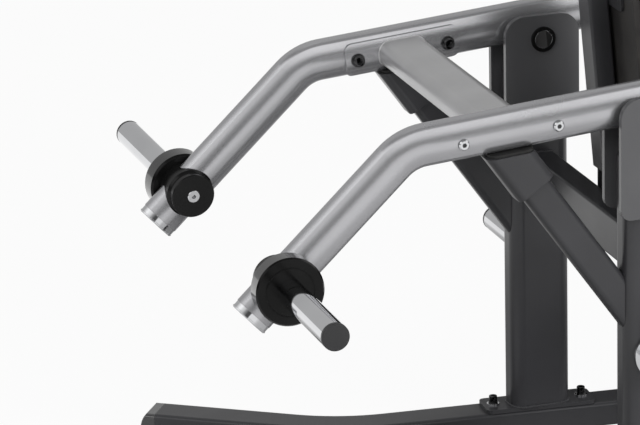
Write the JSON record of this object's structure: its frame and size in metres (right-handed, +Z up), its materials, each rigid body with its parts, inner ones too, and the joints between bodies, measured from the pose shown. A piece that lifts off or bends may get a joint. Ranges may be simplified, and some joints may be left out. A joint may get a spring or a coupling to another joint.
{
  "type": "triceps press machine",
  "caption": "Seated plate-loaded triceps press with a rocking pair of bent arms, swivel grips, a height-adjustable seat, a back pad and a splayed tubular base.",
  "frame": {"origin": "on the floor, under the pivot axis of the arms and on the machine's mid-plane", "axes": "+X the way the seated user faces, along the longest extent; +Y the user's left; +Z up, the shortest extent"},
  "size_m": [1.5924, 1.2896, 1.1357],
  "materials": {
    "frame_black": "satin dark grey powder coat",
    "horn_black": "semi-gloss black",
    "arm_grey": "metallic silver-grey",
    "beam_grey": "satin metallic grey",
    "chrome": "polished",
    "black_bolt": "black oxide",
    "cap_plastic": "matte",
    "rubber": "matte",
    "upholstery": "fine-grained black vinyl",
    "board": "black stained plywood",
    "bush": "plain bearing bronze"
  },
  "bodies": {
    "frame": {"base_tube_left": "frame_black", "base_tube_right": "frame_black", "front_cross_tube": "frame_black", "rear_cross_tube": "frame_black", "middle_rail": "frame_black", "base_caps": "cap_plastic", "rubber_feet": "rubber", "foot_plate_left": "frame_black", "foot_plate_right": "frame_black", "foot_bolts": "black_bolt", "foot_washers": "chrome", "post_left": "frame_black", "post_right": "frame_black", "clevis_plates_left": "frame_black", "clevis_plates_right": "frame_black", "stop_strut_left": "frame_black", "stop_strut_right": "frame_black", "strut_head_left": "frame_black", "strut_head_right": "frame_black", "stop_pads": "rubber", "pivot_shafts": "chrome", "pivot_rings": "black_bolt", "storage_horns": "chrome", "storage_horn_caps": "cap_plastic", "tie_tube": "frame_black", "back_upright": "frame_black", "upright_caps": "cap_plastic", "back_brackets": "frame_black", "back_board": "board", "back_cushion": "upholstery", "back_screws": "chrome", "column_sleeve": "frame_black", "pin_barrel": "chrome"},
    "lever": {"arm_left": "arm_grey", "arm_right": "arm_grey", "pivot_hubs": "arm_grey", "pivot_bushes": "bush", "crossbeam": "beam_grey", "saddle_plates": "arm_grey", "saddle_bolts": "black_bolt", "saddle_nuts": "chrome", "arm_tip_rings": "chrome", "arm_tip_caps": "chrome", "horn_bosses": "horn_black", "horn_flanges": "horn_black", "weight_horns": "chrome", "weight_horn_caps": "cap_plastic", "boss_screws": "chrome", "swivel_shafts": "chrome"},
    "handle_left": {"handle_left": "arm_grey", "grip_left": "rubber", "grip_collars_left": "chrome"},
    "handle_right": {"handle_right": "arm_grey", "grip_right": "rubber", "grip_collars_right": "chrome"},
    "seat": {"seat_tube": "chrome", "seat_plate": "frame_black", "seat_board": "board", "seat_cushion": "upholstery"},
    "locking_pin": {"lock_pin": "cap_plastic"}
  },
  "joints": [
    {"name": "lever_hinge", "type": "hinge", "parent": "frame", "child": "lever", "pos_m": [0, 0, 0.83], "axis": [0, 1, 0], "range_deg": [0, 35]},
    {"name": "left_grip_swivel", "type": "hinge", "parent": "lever", "child": "handle_left", "pos_m": [0.42934, 0.295, 0.79797], "axis": [0.9272, 0, -0.3746], "range_deg": [0, 180]},
    {"name": "right_grip_swivel", "type": "hinge", "parent": "lever", "child": "handle_right", "pos_m": [0.42934, -0.295, 0.79797], "axis": [-0.9272, 0, 0.3746], "range_deg": [0, 180]},
    {"name": "seat_slide", "type": "slide", "parent": "frame", "child": "seat", "axis": [0, 0, 1], "range_m": [0, 0.15]},
    {"name": "pin_pull", "type": "slide", "parent": "frame", "child": "locking_pin", "axis": [1, 0, 0], "range_m": [0, 0.014], "stiffness_N_per_m": 600, "springref_m": -0.01}
  ]
}
